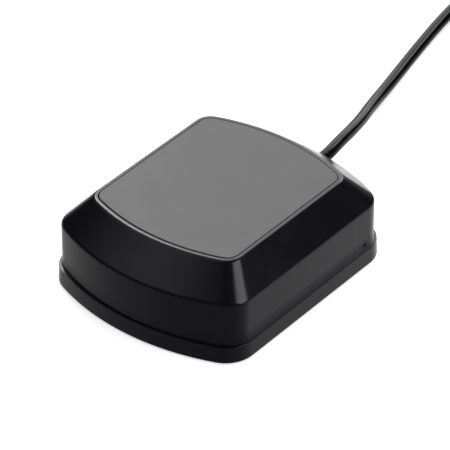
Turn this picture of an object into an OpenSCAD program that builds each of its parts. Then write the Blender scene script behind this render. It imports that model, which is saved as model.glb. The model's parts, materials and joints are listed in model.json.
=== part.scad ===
// Magnetic-base satellite positioning receiver with a fixed USB lead.
// Millimetres, +Z up. The origin is the middle of the base on the surface that it stands on,
// and the lead leaves the +Y end.

/* [Case outline] */
// Width of the base across its straight sides, at the bottom
base_w = 49; // [48.8:0.1:49.4]
// Length of the base between its bowed ends
base_l = 60.4; // [60.2:0.1:61]
// Radius of the base's bowed ends
base_end_r = 53.6; // [52:0.1:56]
// Radius of the base's corners
base_corner_r = 6.9; // [6.7:0.1:7.2]
// Width of the shell's upright walls, up to the belt where the sloping shoulders start
belt_w = 47.5; // [47.3:0.1:47.7]
// Length of the shell's upright walls
belt_l = 58.6; // [58.4:0.1:58.8]
// Radius of the walls' bowed ends
belt_end_r = 49; // [48:0.1:50]
// Radius of the walls' corners
belt_corner_r = 5.3; // [5.2:0.1:5.5]
// Width of the shell's foot, where its walls flare out over the base
foot_w = 48.4; // [48.2:0.1:48.4]
// Length of the shell's foot
foot_l = 58.9; // [58.8:0.1:59.2]
// Width of the flat top, rim included
top_w = 37.1; // [36.5:0.1:37.5]
// Length of the flat top
top_l = 44.7; // [44:0.1:45.2]
// Radius of the flat top's bowed ends
top_end_r = 46.5; // [45:0.1:48]
// Radius of the flat top's corners
top_corner_r = 3.7; // [3.5:0.1:4]

/* [Case heights] */
// Overall height, rubber pad included
case_h = 20; // [19.8:0.1:20.6]
// Height of the belt
belt_z = 14; // [13.8:0.1:14.2]
// Height of the seam between the shell and the base
seam_z = 4.1; // [4:0.1:4.2]
// Height of the case's underside above the surface
foot_gap = 0.2; // [0.2:0.05:0.4]
// Wall thickness of the mouldings
wall = 1.6; // [1.5:0.1:1.7]

/* [Electronics] */
// Side of the square ceramic antenna
antenna_side = 25; // [24:0.5:25]
// Thickness of the ceramic antenna
antenna_t = 4; // [3.5:0.5:4]
// Thickness of the circuit board
board_t = 1; // [0.8:0.1:1.2]
// Height of the circuit board's underside
board_z = 9.6; // [9.5:0.1:9.8]

/* [Lead] */
// Diameter of the lead
lead_d = 2.8; // [2.6:0.1:2.8]
// Height at which the lead leaves the case
lead_z = 7.6; // [7.4:0.1:7.8]
// Radius at the middle of the coil's turns
coil_r = 16.5; // [16:0.1:17]

/* [Hidden] */
$fn = 48;
tiny = 0.01;
corner_steps = 6;
end_steps = 16;

// An outline is [width, length, end radius, corner radius].
base_shape = [base_w, base_l, base_end_r, base_corner_r];
base_draft = 0.2;
ledge_shape = inset(base_shape, base_draft);
belt_shape = [belt_w, belt_l, belt_end_r, belt_corner_r];
foot_end_r = 51;
foot_corner_r = 6.4;
foot_shape = [foot_w, foot_l, foot_end_r, foot_corner_r];
flare_top = 6.2;
top_shape = [top_w, top_l, top_end_r, top_corner_r];

// The shell stands on the base's ledge, a hair above it
seam_gap = 0.1;
shell_z = seam_z + seam_gap;
ledge_z = seam_z - seam_gap / 2;

// Roof, rim and the recess that the top panel lies in
rim_t = 0.75;
recess_depth = 1;
roof_t = 1.5;
cavity_z = case_h - recess_depth - roof_t;
panel_gap = 0.25;
panel_drop = 0.05;
glue_in = 1.2;
glue_t = 0.1;

// Screws, their bosses in the shell and their posts on the base
screw_x = 18;
screw_y = 19.5;
boss_r = 2.5;
board_post_r = 1.8;
boss_top = 16.2;
thread_r = 1;
thread_top = 10.6;
pilot_top = 12;
post_top = shell_z - 0.05;
head_r = 1.8;
counterbore_r = 2;
head_seat = 2.1;
head_t = 1.4;
board_screw_x = 12.5;
board_screw_y = 19.5;
board_thread_r = 0.7;
board_head_r = 1.4;

// Underside: pad recess, pad and magnets
floor_top = foot_gap + wall;
pad_size = [28, 50];
pad_corner_r = 4;
pad_recess_top = 0.8;
edge_chamfer = 0.4;
magnet_r = 7.5;
magnet_t = 3;
magnet_y = 11.5;
pocket_wall = 0.8;

// Seal and locating rib
seal_in = 0.7;
seal_w = 0.6;
seal_bottom = ledge_z - 0.2;
rib_in = 2.5;
rib_t = 1;
rib_top = 6;

// Circuit board and what it carries
board_size = [30, 44];
board_top = board_z + board_t;
antenna_y = -2;
tape_t = 0.3;
antenna_z = board_top + tape_t;
electrode_t = 0.1;
feed_at = [2, 0];
feed_r = 0.45;
can_size = [17, 17, 2.4];
can_y = -10;
can_wall = 0.2;

// Lead entry: slot, relief and boot
relief_w = 5;
relief_inner_y = 25.9;
relief_flange_t = 1.5;
relief_neck_end = 30.2;
boot_end = 34.4;
boot_tip_r = 1.75;
groove_w = 0.5;
groove_depth = 0.35;
jacket_start = 24;
wire_r = 0.35;
wire_pitch = 1.25;
plug_back_y = 21.4;

// The lead's route from the boot to the coil
lead_route = [
  [0, 34.4, 7.6], [0, 36.3, 7.6], [-0.2, 38.5, 7.6], [-0.7, 41, 7.45], [-1.5, 44.5, 7], [-2.8, 49.5, 6.05],
  [-4.7, 55.5, 4.75], [-6.9, 61.5, 3.45], [-8.7, 67, 2.45], [-10.1, 72, 1.85], [-11.9, 79, 1.45],
  [-13.5, 86, 1.4], [-15, 93, 1.4], [-16.4, 100, 1.4], [-17.5, 107, 1.5], [-18.5, 115.5, 1.8]
];

// The spare length: a coil of turns in four nested layers, each a diameter apart
coil_at = [2, 126];
coil_z = 0.6;
coil_wide = 4;
coil_layers = 4;
layer_rise = 0.866;
coil_h = lead_d * (1 + (coil_layers - 1) * layer_rise);
coil_in_r = coil_r - coil_wide * lead_d / 2;
coil_out_r = coil_r + coil_wide * lead_d / 2;
tie_t = 0.5;
tie_w = 3.5;

// The lead's route from the coil to the plug
tail_route = [
  [1, 149.7, 8.2], [5.5, 151.2, 6.2], [10.5, 151.6, 4.2], [15.5, 150.6, 2.6], [20.2, 148.2, 1.7],
  [24.4, 144.8, 1.4], [27.9, 140.6, 1.6], [30.7, 135.9, 2.5], [32.7, 131, 3.5], [33.5, 126, 4]
];

// The plug lies flat beside the coil, its mouth towards -Y
plug_at = [33.5, 126, 4];
plug_boot_l = 10;
plug_boot_r = 2.9;
plug_cover = [15.8, 24, 7.8];
plug_corner_r = 2;
shell_size = [12, 18.75, 4.5];
shell_t = 0.3;
shell_out = 12;
shell_mouth = -plug_boot_l - plug_cover[1] - shell_out;
tongue = [11.2, 11.5, 1.9];
window = [2.5, 2];
window_from_mouth = 6.4;
contact_w = 1;
contact_t = 0.15;

// ---- Outlines ----

function inset(s, d) = [s[0] - 2 * d, s[1] - 2 * d, s[2] - d, max(s[3] - d, 0.4)];

function between(a, b, t) = a + (b - a) * t;

function arc(c, r, a0, a1, steps) =
  [for (i = [0:steps]) let (a = between(a0, a1, i / steps)) c + r * [cos(a), sin(a)]];

// One bowed end with its two rounded corners, from the +X side to the -X side
function bowed_end(s) =
  let (
    bow_y = s[1] / 2 - s[2],
    corner_x = s[0] / 2 - s[3],
    corner_y = bow_y + sqrt(pow(s[2] - s[3], 2) - pow(corner_x, 2)),
    lean = atan2(corner_y - bow_y, corner_x),
    bow = arc([0, bow_y], s[2], lean, 180 - lean, end_steps)
  )
  concat(
    arc([corner_x, corner_y], s[3], 0, lean, corner_steps),
    [for (i = [1:end_steps - 1]) bow[i]],
    arc([-corner_x, corner_y], s[3], 180 - lean, 180, corner_steps)
  );

function outline(s) = let (end = bowed_end(s)) concat(end, [for (p = end) -p]);

module slab(s, z, h)
  translate([0, 0, z])
    linear_extrude(h)
      polygon(outline(s));

module ring(s, w, z, h)
  difference() {
    slab(s, z, h);
    slab(inset(s, w), z - 1, h + 2);
  }

module loft(low, z_low, high, z_high)
  hull() {
    slab(low, z_low, tiny);
    slab(high, z_high - tiny, tiny);
  }

module round_plate(size, r, z, h)
  translate([0, 0, z])
    linear_extrude(h)
      polygon(concat(
        arc([size[0] / 2 - r, size[1] / 2 - r], r, 0, 90, corner_steps),
        arc([r - size[0] / 2, size[1] / 2 - r], r, 90, 180, corner_steps),
        arc([r - size[0] / 2, r - size[1] / 2], r, 180, 270, corner_steps),
        arc([size[0] / 2 - r, r - size[1] / 2], r, 270, 360, corner_steps)
      ));

module at_four(x, y)
  for (sx = [-1, 1])
    for (sy = [-1, 1])
      translate([sx * x, sy * y, 0])
        children();

// A box on the board's underside, hanging down by its height
module under_board(x, y, size)
  translate([x - size[0] / 2, y - size[1] / 2, board_z - size[2]])
    cube(size);

// ---- Case ----

module shell_outside() {
  loft(foot_shape, shell_z, belt_shape, flare_top);
  slab(belt_shape, flare_top - tiny, belt_z - flare_top + tiny);
  loft(belt_shape, belt_z, top_shape, case_h);
}

module shell_inside() {
  slope = (cavity_z - belt_z) / (case_h - belt_z);
  roof_in = 2.1;
  under_belt = 0.4;
  slab(inset(belt_shape, wall), 0, belt_z - under_belt);
  loft(inset(belt_shape, wall), belt_z - under_belt - tiny,
    inset(between(belt_shape, top_shape, slope), roof_in), cavity_z);
}

// The slot for the relief is open at the seam and round at its top.
module entry_slot(w, y0, y1, z0)
  translate([0, y1, 0])
    rotate([90, 0, 0])
      linear_extrude(y1 - y0) {
        translate([0, lead_z])
          circle(w / 2);
        translate([-w / 2, z0])
          square([w, lead_z - z0]);
      }

module upper_shell() color([0.06, 0.06, 0.07]) {
  dimple_r = 0.4;
  dimple_depth = 0.5;
  dimple_y = 18.4;
  dimple_z = 5.4;
  difference() {
    union() {
      difference() {
        shell_outside();
        shell_inside();
      }
      at_four(screw_x, screw_y)
        translate([0, 0, shell_z])
          cylinder(r = boss_r, h = boss_top - shell_z);
    }
    slab(inset(top_shape, rim_t), case_h - recess_depth, recess_depth + 1);
    at_four(screw_x, screw_y)
      translate([0, 0, shell_z - 1])
        cylinder(r = thread_r, h = pilot_top - shell_z + 1);
    entry_slot(relief_w, relief_inner_y, base_l / 2 + 1, shell_z - 1);
    translate([belt_w / 2 - dimple_depth, dimple_y, dimple_z])
      rotate([0, 90, 0])
        cylinder(r = dimple_r, h = 2 * dimple_depth);
  }
}

module top_panel() color([0.42, 0.42, 0.43]) {
  z = case_h - recess_depth + glue_t;
  slab(inset(top_shape, rim_t + panel_gap), z, case_h - panel_drop - z);
}

module panel_adhesive() color([0.75, 0.74, 0.68])
  slab(inset(top_shape, rim_t + glue_in), case_h - recess_depth, glue_t);

module bottom_cover() color([0.06, 0.06, 0.07]) {
  rib_notch = 10;
  difference() {
    union() {
      loft(inset(base_shape, edge_chamfer), foot_gap, base_shape, foot_gap + edge_chamfer);
      difference() {
        loft(base_shape, foot_gap + edge_chamfer - tiny, ledge_shape, ledge_z);
        slab(inset(ledge_shape, wall), floor_top, ledge_z);
      }
      difference() {
        ring(inset(ledge_shape, rib_in), rib_t, floor_top, rib_top - floor_top);
        translate([-rib_notch / 2, 0, ledge_z])
          cube([rib_notch, base_l, rib_top]);
      }
      at_four(screw_x, screw_y)
        translate([0, 0, floor_top])
          cylinder(r = boss_r, h = post_top - floor_top);
      at_four(board_screw_x, board_screw_y)
        translate([0, 0, floor_top])
          cylinder(r = board_post_r, h = board_z - floor_top);
      for (s = [-1, 1])
        translate([0, s * magnet_y, floor_top])
          difference() {
            cylinder(r = magnet_r + pocket_wall, h = magnet_t - 0.5);
            translate([0, 0, -1])
              cylinder(r = magnet_r, h = magnet_t + 1);
          }
    }
    round_plate(pad_size, pad_corner_r, 0, pad_recess_top);
    ring(inset(ledge_shape, seal_in), seal_w, seal_bottom, 1);
    at_four(screw_x, screw_y) {
      translate([0, 0, -1])
        cylinder(r = counterbore_r, h = head_seat + 1);
      cylinder(r = thread_r + 0.1, h = post_top + 1);
    }
    at_four(board_screw_x, board_screw_y)
      translate([0, 0, board_z - 4])
        cylinder(r = board_thread_r, h = 5);
  }
}

module seal_gasket() color([0.25, 0.25, 0.27])
  ring(inset(ledge_shape, seal_in), seal_w, seal_bottom, shell_z - seal_bottom);

module cover_screws() color("silver") {
  drive_r = 0.75;
  drive_depth = 0.8;
  at_four(screw_x, screw_y)
    difference() {
      union() {
        translate([0, 0, head_seat - head_t])
          cylinder(r = head_r, h = head_t);
        translate([0, 0, head_seat])
          cylinder(r = thread_r, h = thread_top - head_seat);
      }
      translate([0, 0, head_seat - head_t - 1])
        cylinder(r = drive_r, h = drive_depth + 1, $fn = 6);
    }
}

module foot_pad() color([0.1, 0.1, 0.1])
  round_plate(pad_size - [0.4, 0.4], pad_corner_r - 0.2, 0, pad_recess_top);

module base_magnets() color([0.7, 0.7, 0.72])
  for (s = [-1, 1])
    translate([0, s * magnet_y, floor_top])
      cylinder(r = magnet_r - 0.1, h = magnet_t);

// ---- Electronics ----

module main_pcb() color([0.05, 0.3, 0.15])
  difference() {
    round_plate(board_size, 1.5, board_z, board_t);
    at_four(board_screw_x, board_screw_y)
      translate([0, 0, board_z - 1])
        cylinder(r = board_thread_r + 0.1, h = board_t + 2);
    translate([feed_at[0], feed_at[1] + antenna_y, board_z - 1])
      cylinder(r = feed_r + 0.05, h = board_t + 2);
  }

module pcb_screws() color("silver")
  at_four(board_screw_x, board_screw_y) {
    translate([0, 0, board_z - 3.9])
      cylinder(r = board_thread_r, h = board_t + 3.9);
    translate([0, 0, board_top])
      cylinder(r = board_head_r, h = 1);
  }

module antenna_block(side, z, h, hole_r)
  difference() {
    translate([-side / 2, antenna_y - side / 2, z])
      cube([side, side, h]);
    translate([feed_at[0], feed_at[1] + antenna_y, z - 1])
      cylinder(r = hole_r, h = h + 2);
  }

module antenna_tape() color([0.9, 0.88, 0.8])
  antenna_block(antenna_side - 1, board_top, tape_t, feed_r + 0.5);

module antenna_ceramic() color([0.72, 0.62, 0.48])
  antenna_block(antenna_side, antenna_z, antenna_t, feed_r + 0.05);

module antenna_electrode() color([0.85, 0.85, 0.87])
  antenna_block(antenna_side - 4, antenna_z + antenna_t, electrode_t, feed_r + 0.05);

module antenna_feed_pin() color([0.85, 0.75, 0.5]) {
  top = antenna_z + antenna_t + electrode_t;
  translate([feed_at[0], feed_at[1] + antenna_y, 0]) {
    translate([0, 0, board_z - 0.5])
      cylinder(r = feed_r, h = top - board_z + 0.5);
    translate([0, 0, top])
      cylinder(r = 1, h = 0.3);
  }
}

module rf_shield_can() color([0.78, 0.78, 0.8])
  difference() {
    under_board(0, can_y, can_size);
    translate([0, 0, can_wall])
      under_board(0, can_y, can_size - [2 * can_wall, 2 * can_wall, 0]);
  }

module gnss_chip() color([0.12, 0.12, 0.13])
  under_board(-3.2, can_y, [7, 7, 0.9]);

module saw_filter() color([0.8, 0.75, 0.6])
  under_board(5.5, can_y + 5.2, [1.6, 1.2, 0.6]);

module low_noise_amplifier() color([0.12, 0.12, 0.13])
  under_board(2.4, can_y + 5.2, [1.5, 1.5, 0.6]);

module reference_oscillator() color([0.8, 0.8, 0.75])
  under_board(4.6, can_y, [2.5, 2, 0.8]);

module usb_bridge_chip() color([0.12, 0.12, 0.13])
  under_board(-5, 5, [5, 5, 0.9]);

module voltage_regulator() color([0.12, 0.12, 0.13])
  under_board(-10.5, 10.5, [2.9, 1.6, 1.1]);

module backup_cell() color([0.75, 0.75, 0.77])
  translate([8.5, 7, board_z - 2.1])
    cylinder(r = 3.4, h = 2.1);

module chip_passives() color([0.65, 0.55, 0.45]) {
  part = [1.6, 0.8, 0.6];
  for (i = [0:4]) {
    under_board(-11.5, -18 + 4 * i, part);
    under_board(11.5, -18 + 4 * i, part);
    under_board(-10 + 3 * i, 0.6, part);
  }
}

module cable_header() color([0.92, 0.9, 0.84])
  difference() {
    under_board(0, 17.5, [7.6, 3.8, 3.2]);
    translate([-3, 17, board_z - 2.9])
      cube([6, 3, 2.6]);
  }

module header_plug() color([0.88, 0.86, 0.8])
  translate([-2.9, 17.1, board_z - 2.8])
    cube([5.8, plug_back_y - 17.1, 2.4]);

// A straight strand between two points
module strand(a, b, r) {
  v = b - a;
  translate(a)
    rotate([0, acos(v[2] / norm(v)), atan2(v[1], v[0])])
      cylinder(r = r, h = norm(v));
}

// Strand i of four, from the header plug to the cut end of the lead's jacket
module signal_wire(i) {
  spread = 0.4;
  strand([(i - 1.5) * wire_pitch, plug_back_y, board_z - 1.6],
    [(i - 1.5) * 2 * spread, jacket_start, lead_z], wire_r);
}

module wire_power() color("red") signal_wire(0);
module wire_data_minus() color("white") signal_wire(1);
module wire_data_plus() color("green") signal_wire(2);
module wire_ground() color([0.05, 0.05, 0.05]) signal_wire(3);

// ---- Lead ----

module cable_inner() color([0.06, 0.06, 0.06])
  strand([0, jacket_start, lead_z], [0, boot_end, lead_z], lead_d / 2);

module cable_strain_relief() color([0.06, 0.06, 0.06]) {
  flange_w = 7.6;
  boot_l = boot_end - relief_neck_end;
  grooves = 3;
  difference() {
    union() {
      entry_slot(flange_w, relief_inner_y, relief_inner_y + relief_flange_t, shell_z);
      entry_slot(relief_w - 0.1, relief_inner_y, relief_neck_end, shell_z);
      translate([0, relief_neck_end, lead_z])
        rotate([-90, 0, 0])
          rotate_extrude()
            difference() {
              polygon([[0, 0], [relief_w / 2, 0], [boot_tip_r, boot_l], [0, boot_l]]);
              for (i = [0:grooves - 1])
                translate([between(relief_w / 2, boot_tip_r, (i + 1) / (grooves + 1)) - groove_depth,
                  boot_l * (i + 1) / (grooves + 1) - groove_w / 2])
                  square([2, groove_w]);
            }
    }
    translate([0, relief_inner_y - 1, lead_z])
      rotate([-90, 0, 0])
        cylinder(r = lead_d / 2, h = boot_end);
  }
}

// A tube of eight sides swept along points
function unit(v) = v / norm(v);

function tangent(p, i) = unit(p[min(i + 1, len(p) - 1)] - p[max(i - 1, 0)]);

// One point on a Catmull-Rom curve through a, b, c and d, between b and c
function curve_point(a, b, c, d, t) =
  0.5 * (2 * b + (c - a) * t + (2 * a - 5 * b + 4 * c - d) * t * t
    + (3 * b - a - 3 * c + d) * t * t * t);

function smooth(p, steps) = let (last = len(p) - 1) concat(
  [for (i = [0:last - 1], k = [0:steps - 1])
    curve_point(p[max(i - 1, 0)], p[i], p[i + 1], p[min(i + 2, last)], k / steps)],
  [p[last]]
);

module tube(points, r) {
  sides = 8;
  n = len(points);
  rings = [for (i = [0:n - 1])
    let (t = tangent(points, i), side = unit(cross(t, [0, 0, 1])), up = cross(side, t))
    for (k = [0:sides - 1])
      let (a = 360 * (k + 0.5) / sides)
      points[i] + r * (cos(a) * side + sin(a) * up)];
  walls = [for (i = [0:n - 2], k = [0:sides - 1])
    let (j = (k + 1) % sides)
    [i * sides + k, i * sides + j, (i + 1) * sides + j, (i + 1) * sides + k]];
  start_cap = [for (k = [sides - 1:-1:0]) k];
  end_cap = [for (k = [0:sides - 1]) (n - 1) * sides + k];
  polyhedron(rings, concat(walls, [start_cap, end_cap]));
}

module coil_section()
  polygon(concat(
    arc([coil_out_r - lead_d / 2, coil_z + lead_d / 2], lead_d / 2, -90, 0, 4),
    arc([coil_out_r - lead_d / 2, coil_z + coil_h - lead_d / 2], lead_d / 2, 0, 90, 4),
    arc([coil_in_r + lead_d / 2, coil_z + coil_h - lead_d / 2], lead_d / 2, 90, 180, 4),
    arc([coil_in_r + lead_d / 2, coil_z + lead_d / 2], lead_d / 2, 180, 270, 4)
  ));

module cable_lead() color([0.06, 0.06, 0.06])
  tube(smooth(lead_route, 2), lead_d / 2);

module cable_coil() color([0.06, 0.06, 0.06])
  translate(coil_at)
    rotate_extrude($fn = 96)
      coil_section();

module cable_tail() color([0.06, 0.06, 0.06])
  tube(smooth(tail_route, 2), lead_d / 2);

// The tie is a strip round the bundle, on the side of the coil that faces the case.
module coil_tie() color([0.1, 0.1, 0.1])
  translate([coil_at[0], coil_at[1] - coil_r, coil_z + coil_h / 2])
    rotate([0, 90, 0])
      difference() {
        round_plate([coil_h + 2 * tie_t, coil_wide * lead_d + 2 * tie_t],
          lead_d / 2 + tie_t, -tie_w / 2, tie_w);
        round_plate([coil_h, coil_wide * lead_d], lead_d / 2, -tie_w, 2 * tie_w);
      }

// ---- Plug ----

// Everything on the plug is drawn pointing to -Y from where the tail enters it.
module usb_plug_cover() color([0.06, 0.06, 0.06])
  translate(plug_at) {
    tip_r = lead_d / 2 + 0.4;
    grooves = 3;
    groove_in = 0.2;
    rotate([90, 0, 0])
      difference() {
        cylinder(r1 = tip_r, r2 = plug_boot_r, h = plug_boot_l);
        for (i = [1:grooves])
          translate([0, 0, i * plug_boot_l / (grooves + 1)])
            difference() {
              cylinder(r = plug_boot_r + 1, h = groove_w);
              cylinder(r = between(tip_r, plug_boot_r, i / (grooves + 1)) - groove_in, h = groove_w);
            }
      }
    difference() {
      intersection() {
        translate([0, -plug_boot_l - plug_cover[1] / 2, 0])
          round_plate([plug_cover[0], plug_cover[1]], plug_corner_r, -plug_cover[2] / 2, plug_cover[2]);
        rotate([90, 0, 0])
          round_plate([plug_cover[0], plug_cover[2]], plug_corner_r, plug_boot_l, plug_cover[1]);
      }
      translate([-shell_size[0] / 2, -plug_boot_l - plug_cover[1] - 1, -shell_size[2] / 2])
        cube([shell_size[0], shell_size[1] - shell_out + 1, shell_size[2]]);
    }
  }

module usb_plug_shell() color([0.8, 0.8, 0.82])
  translate(plug_at)
    difference() {
      translate([-shell_size[0] / 2, shell_mouth, -shell_size[2] / 2])
        cube(shell_size);
      translate([-shell_size[0] / 2 + shell_t, shell_mouth - 1, -shell_size[2] / 2 + shell_t])
        cube(shell_size - [2 * shell_t, -2, 2 * shell_t]);
      for (s = [-1, 1])
        translate([s * shell_size[0] / 4 - window[0] / 2, shell_mouth + window_from_mouth, -shell_size[2]])
          cube([window[0], window[1], 2 * shell_size[2]]);
    }

module usb_plug_insulator() color([0.93, 0.93, 0.93])
  translate(plug_at) {
    back = [shell_size[0] - 2 * shell_t, shell_size[1] - tongue[1] - 0.5, shell_size[2] - 2 * shell_t];
    translate([-tongue[0] / 2, shell_mouth + 0.5, -shell_size[2] / 2 + shell_t])
      cube([tongue[0], tongue[1] + tiny, tongue[2]]);
    translate([-back[0] / 2, shell_mouth + 0.5 + tongue[1], -back[2] / 2])
      cube(back);
  }

module usb_plug_contacts() color([0.85, 0.68, 0.3])
  translate(plug_at)
    for (s = [-1, 1])
      for (c = [[1, 7.4], [3.5, 8.6]])
        translate([s * c[0] - contact_w / 2, shell_mouth + 0.5 + tongue[1] - c[1],
          -shell_size[2] / 2 + shell_t + tongue[2]])
          cube([contact_w, c[1], contact_t]);

upper_shell();
top_panel();
panel_adhesive();
bottom_cover();
seal_gasket();
cover_screws();
foot_pad();
base_magnets();
main_pcb();
pcb_screws();
antenna_tape();
antenna_ceramic();
antenna_electrode();
antenna_feed_pin();
rf_shield_can();
gnss_chip();
saw_filter();
low_noise_amplifier();
reference_oscillator();
usb_bridge_chip();
voltage_regulator();
backup_cell();
chip_passives();
cable_header();
header_plug();
wire_power();
wire_ground();
wire_data_plus();
wire_data_minus();
cable_inner();
cable_strain_relief();
cable_lead();
cable_coil();
cable_tail();
coil_tie();
usb_plug_cover();
usb_plug_shell();
usb_plug_insulator();
usb_plug_contacts();
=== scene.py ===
"""The looks of a magnetic-base GNSS receiver with a captive USB lead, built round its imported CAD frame."""
import json
import math

import bmesh
import bpy
import numpy as np
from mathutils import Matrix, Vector


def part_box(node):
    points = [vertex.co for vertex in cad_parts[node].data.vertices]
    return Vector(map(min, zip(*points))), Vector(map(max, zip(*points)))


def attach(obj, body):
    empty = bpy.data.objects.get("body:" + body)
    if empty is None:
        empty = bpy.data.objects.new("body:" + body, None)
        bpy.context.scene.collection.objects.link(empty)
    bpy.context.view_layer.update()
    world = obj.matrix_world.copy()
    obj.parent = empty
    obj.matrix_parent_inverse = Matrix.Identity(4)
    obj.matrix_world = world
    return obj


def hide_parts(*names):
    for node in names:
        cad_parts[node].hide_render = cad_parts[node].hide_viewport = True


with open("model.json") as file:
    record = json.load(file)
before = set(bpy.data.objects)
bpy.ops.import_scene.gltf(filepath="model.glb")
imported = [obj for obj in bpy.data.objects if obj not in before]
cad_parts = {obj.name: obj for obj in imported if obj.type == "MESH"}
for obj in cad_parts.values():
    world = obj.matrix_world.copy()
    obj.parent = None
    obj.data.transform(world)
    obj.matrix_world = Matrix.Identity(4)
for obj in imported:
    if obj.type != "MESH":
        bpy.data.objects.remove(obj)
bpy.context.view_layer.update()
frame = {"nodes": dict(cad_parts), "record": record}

MM = 0.001
SLOT_OF = {part["node"]: part["material_slot"] for part in frame["record"]["subparts"]}

# ---- Camera ----

VIEW_AZIMUTH = math.radians(38.49)
VIEW_ELEVATION = math.radians(36.18)
VIEW_DISTANCE = 733.3 * MM
VIEW_AIM = Vector((-1.92, 4.52, 6.75)) * MM
VIEW_LENS = 283
VIEW_SENSOR = 36


def make_camera():
    back = Vector((
        math.sin(VIEW_AZIMUTH) * math.cos(VIEW_ELEVATION),
        -math.cos(VIEW_AZIMUTH) * math.cos(VIEW_ELEVATION),
        math.sin(VIEW_ELEVATION),
    ))
    data = bpy.data.cameras.new("camera")
    data.lens = VIEW_LENS
    data.sensor_width = VIEW_SENSOR
    data.clip_start = 0.01
    camera = bpy.data.objects.new("camera", data)
    camera.location = VIEW_AIM + back * VIEW_DISTANCE
    camera.rotation_mode = "QUATERNION"
    camera.rotation_quaternion = (-back).to_track_quat("-Z", "Y")
    bpy.context.scene.collection.objects.link(camera)
    bpy.context.scene.camera = camera


make_camera()

# ---- Lead ----

# Sizes and places are in millimetres, but for the lead's length in metres
LEAD_D = 2.8
LEAD_ROUTE = [
    (0, 34.4, 7.6), (0, 36.3, 7.6), (-0.2, 38.5, 7.6), (-0.7, 41, 7.45), (-1.5, 44.5, 7), (-2.8, 49.5, 6.05),
    (-4.7, 55.5, 4.75), (-6.9, 61.5, 3.45), (-8.7, 67, 2.45), (-10.1, 72, 1.85), (-11.9, 79, 1.45),
    (-13.5, 86, 1.4), (-15, 93, 1.4), (-16.4, 100, 1.4), (-17.5, 107, 1.5), (-18.5, 115.5, 1.8),
]
TAIL_ROUTE = [
    (1, 149.7, 8.2), (5.5, 151.2, 6.2), (10.5, 151.6, 4.2), (15.5, 150.6, 2.6), (20.2, 148.2, 1.7),
    (24.4, 144.8, 1.4), (27.9, 140.6, 1.6), (30.7, 135.9, 2.5), (32.7, 131, 3.5), (33.5, 126, 4),
]
COIL_AT = (2, 126)
COIL_R = 16.5
COIL_Z = 0.6
LAYER_RISE = 0.866
# Each turn's place in the bundle: diameters out from the middle turn, and its layer
TURN_PLACES = [
    (1.5, 0), (0.5, 0), (-0.5, 0), (-1.5, 0),
    (-1, 1), (0, 1), (1, 1),
    (1.5, 2), (0.5, 2), (-0.5, 2), (-1.5, 2),
    (-1, 3), (0, 3), (1, 3),
]
TURN_STEPS = 40
# The share of a round that a turn takes to move over
CROSSING = 0.26
COIL_START = 180
LAST_STEP = 9
# How the lead leaves the coil: angle, radius and height
LEAVING = [(135, 19.3, 9.3), (120, 20.1, 9.6), (105, 21.8, 9.3)]


def smooth_step(t):
    t = min(max(t, 0), 1)
    return t * t * (3 - 2 * t)


def on_coil(angle, radius, z):
    a = math.radians(angle)
    return (COIL_AT[0] + radius * math.cos(a), COIL_AT[1] + radius * math.sin(a), z)


def coil_points():
    """The turns run clockwise, and each moves over to the next place near the end of its round."""
    points = []
    places = [
        (COIL_R + out * LEAD_D, COIL_Z + LEAD_D * (0.5 + layer * LAYER_RISE))
        for out, layer in TURN_PLACES
    ]
    for (r0, z0), (r1, z1) in zip(places, places[1:]):
        for step in range(TURN_STEPS):
            t = step / TURN_STEPS
            k = smooth_step((t - 1 + CROSSING) / CROSSING)
            points.append(on_coil(COIL_START - 360 * t, r0 + (r1 - r0) * k, z0 + (z1 - z0) * k))
    points += [on_coil(COIL_START - LAST_STEP * k, *places[-1]) for k in range(5)]
    return points + [on_coil(*place) for place in LEAVING]


def flowing(points, steps=6):
    """A Catmull-Rom curve through the points."""
    p = [np.array(q, float) for q in points]
    p = [p[0], *p, p[-1]]
    line = []
    for a, b, c, d in zip(p, p[1:], p[2:], p[3:]):
        for t in np.arange(steps) / steps:
            square, cube = 2 * a - 5 * b + 4 * c - d, 3 * b - a - 3 * c + d
            line.append(0.5 * (2 * b + (c - a) * t + square * t**2 + cube * t**3))
    return line + [p[-1]]


def wire(name, points, diameter, resolution=8):
    """A round flexible piece along points in millimetres, as a curve of one open spline."""
    curve = bpy.data.curves.new(name, "CURVE")
    curve.dimensions = "3D"
    curve.bevel_depth = diameter / 2 * MM
    curve.bevel_resolution = resolution
    curve.use_fill_caps = True
    spline = curve.splines.new("POLY")
    spline.points.add(len(points) - 1)
    for point, place in zip(spline.points, points):
        point.co = (*(np.array(place) * MM), 1)
    spline.use_smooth = True
    piece = bpy.data.objects.new(name, curve)
    bpy.context.scene.collection.objects.link(piece)
    return piece


to_coil = flowing(LEAD_ROUTE)[:-1]
round_coil = flowing([LEAD_ROUTE[-1], *coil_points()[1:], *TAIL_ROUTE], 2)
lead = wire("usb_lead", to_coil + round_coil, LEAD_D)

# ---- Mesh building ----


def shape(width, length, end_r, corner_r):
    return np.array([width, length, end_r, corner_r], float)


def at(outline_shape, z, inset=0):
    """A ring of the case: an outline, moved in by inset, at height z."""
    w, l, end_r, corner_r = outline_shape
    return np.array([w - 2 * inset, l - 2 * inset, end_r - inset, max(corner_r - inset, 0.3), z])


def arc(centre, r, start, end, steps):
    angles = np.linspace(start, end, steps + 1)
    return [(centre[0] + r * math.cos(a), centre[1] + r * math.sin(a)) for a in angles]


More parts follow.
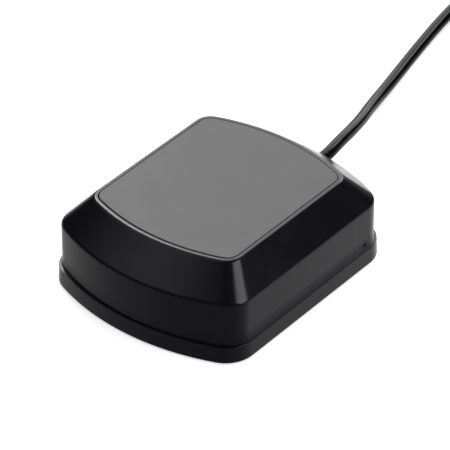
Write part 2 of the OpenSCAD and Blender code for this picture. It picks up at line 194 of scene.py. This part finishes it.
def bowed(ring, corner_steps=10, end_steps=28):
    """The outline of the case at a ring: straight sides, bowed ends and rounded corners."""
    w, l, end_r, corner_r, z = ring
    bow_y = l / 2 - end_r
    corner_x = w / 2 - corner_r
    corner_y = bow_y + math.sqrt((end_r - corner_r) ** 2 - corner_x**2)
    lean = math.atan2(corner_y - bow_y, corner_x)
    end = arc((corner_x, corner_y), corner_r, 0, lean, corner_steps)
    end += arc((0, bow_y), end_r, lean, math.pi - lean, end_steps)[1:-1]
    end += arc((-corner_x, corner_y), corner_r, math.pi - lean, math.pi, corner_steps)
    return [(x, y, z) for x, y in end] + [(-x, -y, z) for x, y in end]


def oblong(ring, steps=8):
    """A rounded rectangle [width, depth, corner radius, z]."""
    w, d, r, z = ring
    points = []
    for k, (sx, sy) in enumerate([(1, 1), (-1, 1), (-1, -1), (1, -1)]):
        centre = (sx * (w / 2 - r), sy * (d / 2 - r))
        points += arc(centre, r, k * math.pi / 2, (k + 1) * math.pi / 2, steps)
    return [(x, y, z) for x, y in points]


def eased(profile, steps=5):
    """Rounds the corners of a profile of (ring, reach) pairs.

    The reach is how far a rounding goes along the two sides that meet at its ring. It has to stay
    under about 0.38 of the shorter side, so that no two rings cross.
    """
    rings = []
    hold = 1.25
    longest_hold = 0.48
    for k, (ring, reach) in enumerate(profile):
        if not reach or k in (0, len(profile) - 1):
            rings.append(ring)
            continue
        before, after = profile[k - 1][0] - ring, profile[k + 1][0] - ring
        size = [math.hypot(v[0] / 2, v[-1]) for v in (before, after)]
        a, b = (ring + v / s * reach for v, s in zip((before, after), size))
        rings.append(ring + before / size[0] * min(reach * hold, size[0] * longest_hold))
        rings += [a * (1 - t) ** 2 + 2 * ring * t * (1 - t) + b * t * t for t in np.linspace(0, 1, steps + 1)]
        rings.append(ring + after / size[1] * min(reach * hold, size[1] * longest_hold))
    return rings


def shade(mesh, sharp):
    """Smooth faces, with the edges sharper than this many degrees kept crisp."""
    mesh.polygons.foreach_set("use_smooth", [True] * len(mesh.polygons))
    mesh.set_sharp_from_angle(angle=math.radians(sharp))


def mesh_object(name, bm, sharp=35):
    """Makes an object of a bmesh, with touching points merged and all faces turned outwards."""
    same_place = 1e-7
    bmesh.ops.remove_doubles(bm, verts=bm.verts, dist=same_place)
    bmesh.ops.recalc_face_normals(bm, faces=bm.faces)
    mesh = bpy.data.meshes.new(name)
    bm.to_mesh(mesh)
    bm.free()
    shade(mesh, sharp)
    piece = bpy.data.objects.new(name, mesh)
    bpy.context.scene.collection.objects.link(piece)
    return piece


def add_skin(bm, loops, place=lambda p: p, closed=False):
    """Quads between loops of points in millimetres. The first and last loops are capped unless they join."""
    rows = [[bm.verts.new(Vector(place(p)) * MM) for p in loop] for loop in loops]
    pairs = list(zip(rows, rows[1:])) + ([(rows[-1], rows[0])] if closed else [])
    for low, high in pairs:
        for k in range(len(low)):
            n = (k + 1) % len(low)
            bm.faces.new((low[k], low[n], high[n], high[k]))
    if not closed:
        bm.faces.new(rows[0][::-1])
        bm.faces.new(rows[-1])


def skin(name, loops, place=lambda p: p, closed=False, sharp=35):
    bm = bmesh.new()
    add_skin(bm, loops, place, closed)
    return mesh_object(name, bm, sharp)


def turned(profile, centre=(0, 0), steps=48):
    """Loops for a lathe-turned solid from (radius, z) pairs."""
    x, y = centre
    angles = np.linspace(0, 2 * math.pi, steps, endpoint=False)
    return [[(x + r * math.cos(a), y + r * math.sin(a), z) for a in angles] for r, z in profile]


def carve(piece, cutter, operation="DIFFERENCE", sharp=35):
    """Cuts cutter out of piece, or joins it on, and removes it."""
    step = piece.modifiers.new("carve", "BOOLEAN")
    step.object = cutter
    step.operation = operation
    step.solver = "EXACT"
    made = bpy.data.meshes.new_from_object(piece.evaluated_get(bpy.context.evaluated_depsgraph_get()))
    piece.modifiers.clear()
    old = piece.data
    piece.data = made
    bpy.data.meshes.remove(old)
    bpy.data.objects.remove(cutter)
    shade(made, sharp)
    return piece


def four_corners(x, y):
    return [(sx * x, sy * y) for sx in (-1, 1) for sy in (-1, 1)]


# ---- Case ----

# A shape is an outline's width, length, end radius and corner radius
CASE_LOW, CASE_HIGH = (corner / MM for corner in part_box("bottom_cover"))
CASE_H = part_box("upper_shell")[1].z / MM
SEAM_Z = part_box("upper_shell")[0].z / MM
FOOT_GAP = CASE_LOW.z
BASE = shape(CASE_HIGH.x - CASE_LOW.x, CASE_HIGH.y - CASE_LOW.y, 53.6, 6.9)
BASE_DRAFT = 0.2
FOOT = shape(48.4, 58.9, 51, 6.4)
BELT = shape(47.5, 58.6, 49, 5.3)
TOP = shape(37.1, 44.7, 46.5, 3.7)
BELT_Z = 14
LEDGE_Z = 4.05
SKIRT_Z = 4.08
FLARE_MID_Z, FLARE_Z = 4.9, 6.2
WALL_T = 1.6
ROOF_INSET = 2.1
RIM_T = 0.75
RECESS_FLOOR = 19
CAVITY_TOP = 17.5
LEAD_EXIT_Y, LEAD_Z = LEAD_ROUTE[0][1:]
SLOT_W = 5.2
SLOT_Y = 25.9
PAST_WALL = 31
DIMPLE_R = 0.4
DIMPLE_Y, DIMPLE_Z = 18.4, 5.4
PANEL_GAP = 0.16
PANEL_SLIP_X, PANEL_SLIP_Y = -0.11, 0.2
SCREW_X, SCREW_Y = 18, 19.5
POST_R = 2.5
COUNTERBORE_R, COUNTERBORE_TOP = 2, 2.1
CLEARANCE_R = 1.1
PAD_W, PAD_L, PAD_CORNER = 27.6, 49.6, 3.8
PAD_TOP = 0.8
PAD_GAP = 0.2


def make_upper_shell():
    """The hollow lid: cavity, flared foot, walls, shoulders, rim and recess, then the slot and the dimple."""
    cavity_shape = BELT + (TOP - BELT) * (CAVITY_TOP - BELT_Z) / (CASE_H - BELT_Z)
    profile = [
        (at(cavity_shape, CAVITY_TOP, ROOF_INSET), 0),
        (at(BELT, BELT_Z - 0.4, WALL_T), 0.5),
        (at(BELT, SKIRT_Z, WALL_T), 0.1),
        (at(FOOT, SKIRT_Z), 0.1),
        (at(BELT + (FOOT - BELT) * 0.4, FLARE_MID_Z), 0.25),
        (at(BELT, FLARE_Z), 0.5),
        (at(BELT, BELT_Z), 0.45),
        (at(TOP, CASE_H), 0.4),
        (at(TOP, CASE_H, RIM_T), 0.08),
        (at(TOP, RECESS_FLOOR, RIM_T), 0),
    ]
    shell = skin("upper_shell_moulding", [bowed(ring) for ring in eased(profile)])
    loops = [[(x, y, z) for x, z in entry_outline(SLOT_W, SEAM_Z - 1)] for y in (SLOT_Y, PAST_WALL)]
    shell = carve(shell, skin("slot_cutter", loops))
    dimple = turned([(DIMPLE_R, -0.5), (DIMPLE_R, 0.5)], steps=24)
    wall_x = BELT[0] / 2 + 0.1
    in_wall = lambda p: (wall_x + p[2], DIMPLE_Y + p[0], DIMPLE_Z + p[1])
    return carve(shell, skin("dimple_cutter", dimple, in_wall))


def entry_outline(width, bottom, steps=16):
    """The lead entry's outline: square at the seam and round over the lead."""
    r = width / 2
    return arc((0, LEAD_Z), r, 0, math.pi, steps) + [(-r, bottom), (r, bottom)]


def make_top_panel():
    """A plate, a little raised in the middle, that lies towards the rear of its recess and towards -X."""
    edge = RIM_T + PANEL_GAP
    profile = [
        (at(TOP, RECESS_FLOOR + 0.1, edge + 0.1), 0),
        (at(TOP, RECESS_FLOOR + 0.2, edge), 0),
        (at(TOP, CASE_H - 0.06, edge), 0.08),
        (at(TOP, CASE_H - 0.05, edge + 3), 0),
        (at(TOP, CASE_H - 0.04, edge + 8), 0),
    ]
    shorter = 0.996
    in_recess = lambda p: (p[0] + PANEL_SLIP_X, p[1] * shorter + PANEL_SLIP_Y, p[2])
    return skin("top_panel_plate", [bowed(ring) for ring in eased(profile)], in_recess)


def pad_ring(inset, z):
    return np.array([PAD_W - 2 * inset, PAD_L - 2 * inset, max(PAD_CORNER - inset, 1), z])


def make_bottom_cover():
    """The tray, with its screw posts, the counterbores under them and the recess for the pad."""
    floor_top = FOOT_GAP + WALL_T
    profile = [
        (at(BASE, FOOT_GAP, 3), 0),
        (at(BASE, FOOT_GAP), 0.4),
        (at(BASE, LEDGE_Z, BASE_DRAFT), 0.12),
        (at(BASE, LEDGE_Z, BASE_DRAFT + WALL_T), 0.1),
        (at(BASE, floor_top, BASE_DRAFT + WALL_T), 0.3),
        (at(BASE, floor_top, 4), 0),
    ]
    cover = skin("bottom_cover_tray", [bowed(ring) for ring in eased(profile)])
    bevel = 0.25
    bore = [
        (COUNTERBORE_R + bevel, FOOT_GAP - 1),
        (COUNTERBORE_R + bevel, FOOT_GAP),
        (COUNTERBORE_R, FOOT_GAP + bevel),
        (COUNTERBORE_R, COUNTERBORE_TOP),
        (CLEARANCE_R, COUNTERBORE_TOP),
        (CLEARANCE_R, LEDGE_Z + 2),
    ]
    for centre in four_corners(SCREW_X, SCREW_Y):
        post = turned([(POST_R, floor_top - 0.5), (POST_R, LEDGE_Z + 0.1)], centre)
        cover = carve(cover, skin("post", post), "UNION")
        cover = carve(cover, skin("screw_bore", turned(bore, centre)))
    recess = [oblong(pad_ring(-PAD_GAP, z)) for z in (-1, PAD_TOP)]
    return carve(cover, skin("pad_recess", recess))


def make_foot_pad():
    """A rubber pad with a shallow groove round its underside."""
    middle = 3.8
    groove_deep = 0.25
    crease = 0.06
    profile = [
        (pad_ring(middle, PAD_TOP), 0),
        (pad_ring(0, PAD_TOP), 0),
        (pad_ring(0, 0), 0.3),
        (pad_ring(1, 0), crease),
        (pad_ring(1.15, groove_deep), crease),
        (pad_ring(1.45, groove_deep), crease),
        (pad_ring(1.6, 0), crease),
        (pad_ring(middle, 0), 0),
    ]
    return skin("foot_pad_rubber", [oblong(ring) for ring in eased(profile, 4)])


def make_cover_screws():
    """Pan-head screws with crossed recesses, seen in the base's counterbores."""
    thread_r, root_r = 0.95, 0.8
    half_pitch = 0.2
    head = [(0.3, 0.7), (0.9, 0.72), (1.4, 0.82), (1.72, 1.05), (1.8, 1.35), (1.8, 2.1), (thread_r, 2.1)]
    threads = [(thread_r if k % 2 else root_r, 2.4 + half_pitch * k) for k in range(38)]
    tip = [(0.6, 10.2), (0.1, 10.6)]
    bm = bmesh.new()
    for centre in four_corners(SCREW_X, SCREW_Y):
        add_skin(bm, turned(head + threads + tip, centre, 32))
    screws = mesh_object("cover_screw_set", bm, 30)
    slot_long, slot_wide = 1.9, 0.42
    for w, d in ((slot_long, slot_wide), (slot_wide, slot_long)):
        mouth = oblong((w, d, 0.1, 0.2), 3)
        bottom = oblong((w * 0.62 + 0.05, d * 0.9, 0.09, 1.5), 3)
        slots = bmesh.new()
        for x, y in four_corners(SCREW_X, SCREW_Y):
            add_skin(slots, [[(px + x, py + y, pz) for px, py, pz in loop] for loop in (mouth, bottom)])
        screws = carve(screws, mesh_object("slot_cutters", slots), sharp=30)
    return screws


# ---- Strain relief, tie and plug ----


def make_strain_relief():
    """The moulded relief: a block that fills the case's slot, then a grooved, tapering boot."""
    bm = bmesh.new()
    block_w, block_end, block_bevel = SLOT_W - 0.1, 30.2, 0.15
    stations = [
        (27.45, 0),
        (block_end - block_bevel, 0),
        (block_end - block_bevel / 3, block_bevel / 3),
        (block_end, block_bevel),
    ]
    add_skin(bm, [[(x, y, z) for x, z in entry_outline(block_w - 2 * e, SEAM_Z + e)] for y, e in stations])
    flange_w, flange_ends = 7.6, (SLOT_Y, 27.4)
    add_skin(bm, [[(x, y, z) for x, z in entry_outline(flange_w, SEAM_Z)] for y in flange_ends])

    boot_r, tip_r, boot_end = 2.5, 1.75, LEAD_EXIT_Y
    cut = 0.33
    groove_profile = [(0.05, -0.3), (-0.02, -0.24), (-cut, -0.19), (-cut, 0.17), (-0.08, 0.24), (-0.06, 0.3)]
    boot = [(boot_r - 0.15, block_end - 0.1), (boot_r, block_end + 0.1)]
    for groove in range(3):
        y = 31.25 + 1.05 * groove
        r = boot_r - (boot_r - tip_r) * (y - block_end) / (boot_end - block_end)
        boot += [(r + out, y + along) for out, along in groove_profile]
    boot += [(1.78, boot_end - 0.3), (1.73, boot_end - 0.1), (1.62, boot_end)]
    boot += [(LEAD_D / 2 + 0.01, boot_end), (LEAD_D / 2 + 0.01, boot_end - 0.5)]
    loops = [[(x, y, z + LEAD_Z) for x, z, y in loop] for loop in turned(boot, steps=40)]
    add_skin(bm, loops)
    return mesh_object("lead_strain_relief", bm, 32)


TWIST_TURNS = 2.15
TWISTED = 0.72


def make_coil_tie():
    """A paper-thin strip round the bundle, with its two ends twisted together."""
    bm = bmesh.new()
    wide, high = 4 * LEAD_D, LEAD_D * (1 + 3 * LAYER_RISE)
    mid_z = COIL_Z + high / 2
    mid_y = COIL_AT[1] - COIL_R
    half_w, thick, wire_thick = 1.75, 0.42, 0.5
    half_edge = [(half_w, 0), (half_w, thick), (0.7, thick), (0.5, wire_thick)]
    edge = [(-across, out) for across, out in half_edge] + half_edge[::-1]
    loops = []
    for across, out in edge:
        strip = oblong((wide + 2 * out, high + 2 * out, LEAD_D / 2 + out, 0), 6)
        loops.append([(COIL_AT[0] + across, mid_y + a, mid_z + b) for a, b, _ in strip])
    add_skin(bm, loops, closed=True)

    twist_start = mid_y - wide / 2 - 0.3
    twist_long, twist_rise = 9, 1.5
    strand_half_w, strand_half_t = 0.95, 0.2
    steps = 40
    for strand in (0, math.pi):
        loops = []
        for k in range(steps + 1):
            t = k / steps
            turn = strand + TWIST_TURNS * 2 * math.pi * min(t / TWISTED, 1)
            spread = 0.26 + smooth_step((t - 0.66) / 0.5)
            x = COIL_AT[0] + spread * math.cos(turn)
            y = twist_start - twist_long * t
            z = mid_z + twist_rise * t + spread * math.sin(turn)
            lean = turn + 1.57
            across = (strand_half_w * math.cos(lean), strand_half_w * math.sin(lean))
            through = (-strand_half_t * math.sin(lean), strand_half_t * math.cos(lean))
            loops.append([
                (x + a * across[0] + b * through[0], y, z + a * across[1] + b * through[1])
                for a, b in ((-1, -1), (1, -1), (1, 1), (-1, 1))
            ])
        add_skin(bm, loops)
    return mesh_object("coil_twist_tie", bm, 40)


PLUG_AT = TAIL_ROUTE[-1]
PLUG_W, PLUG_T = 15.8, 7.8
PLUG_BOOT = 10
PLUG_LONG = 24
FACE = -PLUG_BOOT - PLUG_LONG
MOUTH = FACE - 12
SHELL_IN = FACE + 6.7


def plug_place(p):
    """From a plug section (x across, y up, z along) to its place beside the coil, pointing to -Y."""
    return (PLUG_AT[0] + p[0], PLUG_AT[1] + p[2], PLUG_AT[2] + p[1])


def make_plug_cover():
    """The moulded grip with its ribbed boot, from the lead's end to the face that the shell stands out of."""
    profile = [((2.9, 2.9, 1.4, 0), 0), ((3.7, 3.7, 1.8, 0), 0.15)]
    crease = 0.1
    for rib in range(4):
        z = -1.3 - 2.1 * rib
        d = 3.75 + 0.25 * rib
        root = d - 0.7
        after = d + 0.2
        profile += [
            ((d, d, d / 2 - 0.01, z), crease),
            ((root, root, root / 2 - 0.01, z - 0.2), crease),
            ((root, root, root / 2 - 0.01, z - 0.9), crease),
            ((after, after, after / 2 - 0.01, z - 1.1), crease),
        ]
    profile += [
        ((5.2, 5.2, 2.5, -PLUG_BOOT + 0.6), 0.3),
        ((7.4, 6.4, 2.9, -PLUG_BOOT - 0.4), 0.5),
        ((14.6, 7.3, 2.6, -PLUG_BOOT - 3), 1.2),
        ((PLUG_W, PLUG_T, 2.1, -PLUG_BOOT - 7), 1.5),
        ((PLUG_W, PLUG_T, 2, FACE), 0.5),
        ((12.1, 4.6, 0.3, FACE), 0.15),
        ((12.1, 4.6, 0.3, FACE + 6), 0),
    ]
    rings = eased([(np.array(ring, float), reach) for ring, reach in profile], 4)
    cover = skin("usb_plug_moulding", [oblong(ring) for ring in rings], plug_place)
    for k in range(5):
        z = -PLUG_BOOT - 9.5 - 1.6 * k
        for side in (-1, 1):
            loops = [oblong(ring) for ring in ((9, 0.8, 0.35, -0.22), (9.5, 1.3, 0.45, 0.5))]
            place = lambda p: plug_place((p[0], side * (PLUG_T / 2 + p[2]), z + p[1]))
            cover = carve(cover, skin("grip_cutter", loops, place))
    return cover


def make_plug_shell():
    """The folded steel shell, with its two latch windows on each side and the seam where it meets."""
    outer, inner = (12, 4.5, 0.6), (11.4, 3.9, 0.3)
    profile = [
        (np.array([*outer, SHELL_IN]), 0),
        (np.array([*outer, MOUTH]), 0.1),
        (np.array([*inner, MOUTH]), 0.1),
        (np.array([*inner, SHELL_IN]), 0),
    ]
    rings = [oblong(ring) for ring in eased(profile, 3)]
    shell = skin("usb_plug_shell_steel", rings, plug_place, closed=True)
    window = [oblong((2.5, 2, 0.15, depth), 3) for depth in (-3, 3)]
    window_z = MOUTH + 7.4
    for window_x in (-3, 3):
        place = lambda p: plug_place((p[0] + window_x, p[2], window_z + p[1]))
        shell = carve(shell, skin("window_cutter", window, place))
    seam = [oblong(ring, 3) for ring in ((0.12, 30, 0.05, -3), (0.12, 30, 0.05, -2.12))]
    return carve(shell, skin("seam_cutter", seam, lambda p: plug_place((p[0], p[2], MOUTH + p[1]))))


# ---- Materials ----


class Nodes:
    """A short way to write a material's node tree."""

    def __init__(self, name):
        self.material = bpy.data.materials.new(name)
        self.material.use_nodes = True
        self.tree = self.material.node_tree
        self.shader = self.tree.nodes["Principled BSDF"]
        self.coordinates = self.tree.nodes.new("ShaderNodeTexCoord").outputs["Object"]

    def add(self, kind, inputs=(), **settings):
        node = self.tree.nodes.new(kind)
        for key, value in settings.items():
            setattr(node, key, value)
        for key, value in dict(inputs).items():
            self.put(node.inputs[key], value)
        return node

    def put(self, socket, value):
        if isinstance(value, bpy.types.NodeSocket):
            self.tree.links.new(value, socket)
        else:
            socket.default_value = value

    def set(self, **inputs):
        for key, value in inputs.items():
            self.put(self.shader.inputs[key.replace("_", " ")], value)

    def noise(self, size_mm, detail=4, stretch=None):
        """Noise whose features are about size_mm across."""
        place = self.coordinates
        if stretch:
            place = self.add("ShaderNodeVectorMath", {0: place, 1: stretch}, operation="MULTIPLY").outputs[0]
        inputs = {"Vector": place, "Scale": 1 / (size_mm * MM), "Detail": detail}
        return self.add("ShaderNodeTexNoise", inputs).outputs["Fac"]

    def spread(self, value, low, high, start=0.3, end=0.7):
        inputs = {"Value": value, "From Min": start, "From Max": end, "To Min": low, "To Max": high}
        return self.add("ShaderNodeMapRange", inputs).outputs[0]

    def mix(self, factor, low, high):
        node = self.add("ShaderNodeMix", {"Factor": factor}, data_type="RGBA")
        for socket, value in ((6, low), (7, high)):
            self.put(node.inputs[socket], value if isinstance(value, bpy.types.NodeSocket) else (*value, 1))
        return node.outputs[2]

    def bump(self, height, depth_mm):
        inputs = {"Height": height, "Distance": depth_mm * MM, "Strength": 1.0}
        return self.add("ShaderNodeBump", inputs).outputs["Normal"]


def moulded(name, colour, roughness, grain_mm=0.18, grain_depth=0.004, tint=0.15, specular=0.5):
    """Moulded plastic or rubber: fine texture from the tool, faint flow marks and uneven gloss."""
    n = Nodes(name)
    darker, lighter = ([c * k for c in colour] for k in (1 - tint, 1 + tint))
    flow = n.noise(9, 3)
    grain = n.noise(grain_mm, 2)
    n.set(Base_Color=n.mix(n.spread(flow, 0, 1), darker, lighter))
    n.set(Roughness=n.spread(n.noise(3.5, 5), roughness * 0.88, roughness * 1.14))
    n.set(Normal=n.bump(grain, grain_depth), Specular_IOR_Level=specular)
    return n.material


def metal(name, colour, roughness, stretch=(1, 14, 1), scratch_mm=0.9):
    """Drawn or brushed metal, with scratches along one way and a little tarnish."""
    n = Nodes(name)
    dull = [c * 0.78 for c in colour]
    scratches = n.noise(scratch_mm, 6, stretch)
    n.set(Base_Color=n.mix(n.spread(n.noise(4, 4), 0, 1, 0.4, 0.75), colour, dull), Metallic=1.0)
    n.set(Roughness=n.spread(scratches, roughness * 0.75, roughness * 1.3))
    n.set(Normal=n.bump(scratches, 0.003))
    return n.material


def board(name, colour):
    """Solder mask over a fine pattern of copper tracks and pads."""
    n = Nodes(name)
    per_metre = (420, 420, 0)
    place = n.add("ShaderNodeVectorMath", {0: n.coordinates, 1: per_metre}, operation="MULTIPLY").outputs[0]
    tracks = n.add("ShaderNodeTexBrick", {
        "Vector": place, "Scale": 1, "Mortar Size": 0.06,
        "Color1": (0, 0, 0, 1), "Color2": (0.2, 0.2, 0.2, 1), "Mortar": (1, 1, 1, 1),
    })
    pads = n.add("ShaderNodeTexVoronoi", {"Vector": place, "Scale": 1.6})
    pad = n.spread(pads.outputs["Distance"], 1, 0, 0.1, 0.14)
    copper = [c * 2.4 for c in colour]
    mask = n.mix(tracks.outputs["Color"], colour, copper)
    gold = (0.75, 0.6, 0.3)
    n.set(Base_Color=n.mix(pad, mask, gold), Roughness=n.spread(n.noise(2), 0.25, 0.4), Metallic=pad)
    n.set(Normal=n.bump(tracks.outputs["Fac"], 0.02))
    return n.material


def ceramic(name, colour):
    """Fired ceramic with fine speckle and a chalky surface."""
    n = Nodes(name)
    speckle = n.spread(n.noise(0.12, 2), 0, 1, 0.55, 0.7)
    n.set(Base_Color=n.mix(speckle, colour, [c * 0.72 for c in colour]))
    n.set(Roughness=n.spread(n.noise(1.2), 0.5, 0.7), Normal=n.bump(n.noise(0.25), 0.006))
    return n.material


def lead_jacket(name, colour):
    """Soft vinyl: a satin skin with a faint texture and small scuffs."""
    n = Nodes(name)
    scuffs = n.spread(n.noise(1.4, 6), 0, 1, 0.58, 0.72)
    n.set(Base_Color=n.mix(scuffs, colour, [c * 1.6 + 0.001 for c in colour]))
    n.set(Roughness=n.spread(n.noise(0.7, 5), 0.1, 0.16))
    n.set(Normal=n.bump(n.noise(0.35, 3), 0.004), Specular_IOR_Level=0.15)
    return n.material


MATERIALS = {
    "shell_black": moulded("satin_black_abs", (0.004, 0.0034, 0.0062), 0.2, 0.16, 0.001),
    "panel_grey": moulded("satin_grey_panel", (0.085, 0.085, 0.086), 0.36, 0.22, 0.002, 0.02, 0.2),
    "adhesive": moulded("adhesive_film", (0.7, 0.68, 0.6), 0.6),
    "rubber_black": moulded("foot_rubber", (0.022, 0.022, 0.022), 0.75, 0.3, 0.02),
    "seal_rubber": moulded("seal_rubber", (0.008, 0.008, 0.009), 0.7, 0.3, 0.01),
    "screw_steel": metal("screw_steel", (0.6, 0.6, 0.61), 0.32),
    "magnet_nickel": metal("magnet_nickel", (0.66, 0.64, 0.6), 0.16, (1, 1, 1)),
    "board_green": board("board_green", (0.012, 0.11, 0.045)),
    "antenna_ceramic": ceramic("antenna_ceramic", (0.56, 0.43, 0.28)),
    "silver_plate": metal("silver_plate", (0.82, 0.8, 0.76), 0.3),
    "tinned_steel": metal("tinned_steel", (0.68, 0.68, 0.69), 0.3),
    "chip_black": moulded("chip_epoxy", (0.018, 0.018, 0.019), 0.55, 0.08, 0.004),
    "chip_ceramic": ceramic("chip_ceramic", (0.6, 0.54, 0.42)),
    "solder_gold": metal("gold_plate", (0.86, 0.66, 0.28), 0.2),
    "nylon_ivory": moulded("header_nylon", (0.78, 0.74, 0.63), 0.5),
    "insulator_white": moulded("plug_insulator", (0.8, 0.8, 0.78), 0.4),
    "wire_red": moulded("wire_red", (0.5, 0.02, 0.02), 0.35),
    "wire_black": moulded("wire_black", (0.01, 0.01, 0.01), 0.35),
    "wire_green": moulded("wire_green", (0.02, 0.25, 0.06), 0.35),
    "wire_white": moulded("wire_white", (0.75, 0.75, 0.72), 0.35),
    "lead_pvc": lead_jacket("lead_vinyl", (0.0035, 0.0035, 0.0045)),
    "tie_plastic": moulded("tie_plastic", (0.02, 0.02, 0.021), 0.35, 0.4, 0.01),
    "plug_steel": metal("plug_steel", (0.74, 0.74, 0.75), 0.24),
}


def dress(piece, slot):
    piece.data.materials.clear()
    piece.data.materials.append(MATERIALS[slot])


replaced = set()


def stand_for(piece, *nodes):
    """The piece takes these CAD nodes' place, their slot and their body."""
    replaced.update(nodes)
    slot = SLOT_OF[nodes[0]]
    dress(piece, slot)
    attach(piece, "root")
    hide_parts(*nodes)
    return piece


stand_for(lead, "cable_lead", "cable_coil", "cable_tail")
stand_for(make_upper_shell(), "upper_shell")
stand_for(make_top_panel(), "top_panel")
stand_for(make_bottom_cover(), "bottom_cover")
stand_for(make_foot_pad(), "foot_pad")
stand_for(make_cover_screws(), "cover_screws")
relief = stand_for(make_strain_relief(), "cable_strain_relief")
tie = stand_for(make_coil_tie(), "coil_tie")
plug_cover = stand_for(make_plug_cover(), "usb_plug_cover")
plug_shell = stand_for(make_plug_shell(), "usb_plug_shell")
for node, piece in frame["nodes"].items():
    if node not in replaced:
        dress(piece, SLOT_OF[node])

# ---- Stage and light ----


def make_floor():
    bm = bmesh.new()
    bmesh.ops.create_grid(bm, x_segments=1, y_segments=1, size=3)
    floor = mesh_object("floor", bm)
    just_under = 0.02 * MM
    floor.location.z = -just_under
    n = Nodes("floor")
    n.set(Base_Color=(0.86, 0.86, 0.86, 1), Roughness=0.9, Specular_IOR_Level=0.1)
    n.set(Emission_Color=(1, 1, 1, 1), Emission_Strength=0.6)
    floor.data.materials.append(n.material)
    floor.visible_glossy = False


# The table's brightness beside the case, how it grows towards the back, and which way that is
TABLE_LEVEL = 0.3
TABLE_RISE = 3.5
TABLE_BACK = (-0.56, 1.1, 0)


def make_world():
    """A dim studio with a pale table that is brightest behind the case. A camera sees it plain and pale."""
    world = bpy.data.worlds.new("studio")
    bpy.context.scene.world = world
    world.use_nodes = True
    tree = world.node_tree

    def math_node(operation, *values):
        node = tree.nodes.new("ShaderNodeMath")
        node.operation = operation
        fill(node, values)
        return node.outputs[0]

    def ramp(value, start, end, low, high):
        node = tree.nodes.new("ShaderNodeMapRange")
        node.interpolation_type = "SMOOTHSTEP"
        fill(node, (value, start, end, low, high))
        return node.outputs[0]

    def fill(node, values):
        for socket, value in zip(node.inputs, values):
            if isinstance(value, bpy.types.NodeSocket):
                tree.links.new(value, socket)
            else:
                socket.default_value = value

    direction = tree.nodes.new("ShaderNodeTexCoord").outputs["Generated"]
    axes = tree.nodes.new("ShaderNodeSeparateXYZ")
    tree.links.new(direction, axes.inputs[0])
    toward_back = tree.nodes.new("ShaderNodeVectorMath")
    toward_back.operation = "DOT_PRODUCT"
    fill(toward_back, (direction, TABLE_BACK))
    rise = math_node("POWER", TABLE_RISE, toward_back.outputs["Value"])
    table = math_node("MULTIPLY", rise, TABLE_LEVEL)
    near_case = ramp(axes.outputs["Z"], -0.82, -0.62, 0.1, 1)
    below = ramp(axes.outputs["Z"], -0.02, -0.2, 0, 1)
    lit_table = math_node("MULTIPLY", math_node("MULTIPLY", table, near_case), below)
    overhead = ramp(axes.outputs["Z"], 0.45, 0.75, 0, 0.45)
    left = ramp(axes.outputs["X"], 0.1, -0.4, 0, 1)
    glow = math_node("MULTIPLY", overhead, left)
    dimmest = 0.03
    room = math_node("ADD", math_node("ADD", lit_table, glow), dimmest)
    seen = tree.nodes.new("ShaderNodeLightPath").outputs["Is Camera Ray"]
    strength = math_node("MAXIMUM", seen, room)
    tree.links.new(strength, tree.nodes["Background"].inputs["Strength"])
    tree.nodes["Background"].inputs["Color"].default_value = (1, 1, 1, 1)


def soft_box(name, azimuth, elevation, distance, width, height, radiance, glossy=True):
    """A rectangular light facing the case, placed by its direction in degrees from +X."""
    data = bpy.data.lights.new(name, "AREA")
    data.shape = "RECTANGLE"
    data.size, data.size_y = width, height
    data.energy = radiance * math.pi * width * height
    light = bpy.data.objects.new(name, data)
    a, e = math.radians(azimuth), math.radians(elevation)
    direction = Vector((math.cos(a) * math.cos(e), math.sin(a) * math.cos(e), math.sin(e)))
    light.location = direction * distance
    light.rotation_mode = "QUATERNION"
    light.rotation_quaternion = direction.to_track_quat("Z", "Y")
    light.visible_camera = False
    light.visible_glossy = glossy
    bpy.context.scene.collection.objects.link(light)


make_floor()
make_world()
soft_box("back_window", 118, 32, 1.0, 1.1, 1.0, 2.5)
soft_box("window_core", 146, 44, 1.0, 0.3, 0.35, 8)
soft_box("window_edge", 86, 34, 1.0, 0.15, 0.3, 6)
soft_box("side_strip", 12, 36, 1.0, 0.6, 0.75, 2.4)
soft_box("fill", -45, 80, 1.6, 1.6, 1.6, 1.2, glossy=False)
bpy.context.scene.view_settings.view_transform = "Standard"
